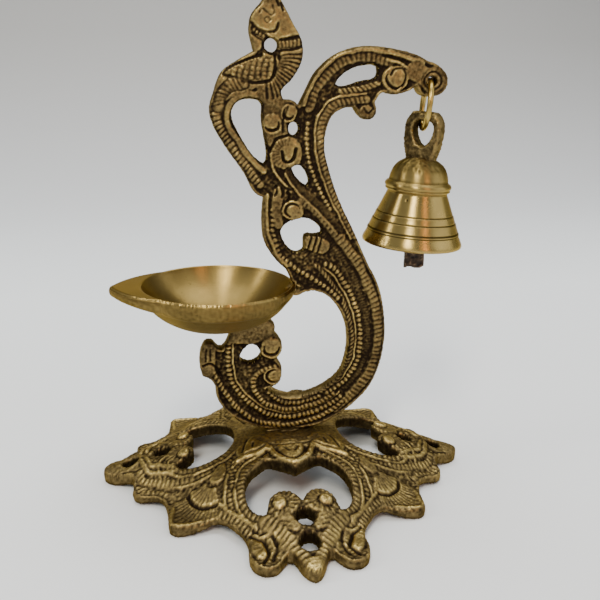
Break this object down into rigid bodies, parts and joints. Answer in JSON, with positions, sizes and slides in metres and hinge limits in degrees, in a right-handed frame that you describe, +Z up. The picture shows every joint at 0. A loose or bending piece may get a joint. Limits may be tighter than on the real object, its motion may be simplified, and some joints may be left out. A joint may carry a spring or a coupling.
{
  "type": "peacock oil lamp stand with hanging bell",
  "caption": "Cast brass peacock-scroll oil lamp: openwork lotus base, teardrop oil bowl, and a bell with a clapper hung on a ring from the arm.",
  "frame": {"origin": "middle of the base, on the surface that the lamp stands on", "axes": "+Z up, +X from the wick spout towards the bell, the flat stem lies in the XZ plane, the decorated front faces -Y"},
  "size_m": [0.15, 0.1532, 0.1906],
  "materials": {
    "cast_brass": "sand-cast, dark patina in the recesses, rubbed bright on the raised work",
    "turned_brass": "lathe-turned and lightly brushed",
    "ring_brass": "bright drawn wire",
    "dark_iron": "oxidised brown strip and wire",
    "zinc_steel": "zinc plated"
  },
  "bodies": {
    "root": {"base_plate": "cast_brass", "stem": "cast_brass", "oil_bowl": "turned_brass", "base_washer": "zinc_steel", "base_screw": "zinc_steel"},
    "ring": {"jump_ring": "ring_brass"},
    "bell": {"bell": "turned_brass", "clapper_staple": "dark_iron"},
    "clapper": {"clapper": "dark_iron"}
  },
  "joints": [
    {"name": "ring_swing", "type": "hinge", "parent": "root", "child": "ring", "pos_m": [0.0534, 0, 0.1593], "axis": [0, 1, 0], "range_deg": [-45, 1]},
    {"name": "bell_swing", "type": "hinge", "parent": "ring", "child": "bell", "pos_m": [0.0534, 0, 0.15075], "axis": [0.9877, -0.1564, 0], "range_deg": [-28, 28]},
    {"name": "clapper_swing", "type": "hinge", "parent": "bell", "child": "clapper", "pos_m": [0.05127, 0, 0.12136], "axis": [0, 1, 0], "range_deg": [-22, 22]}
  ]
}
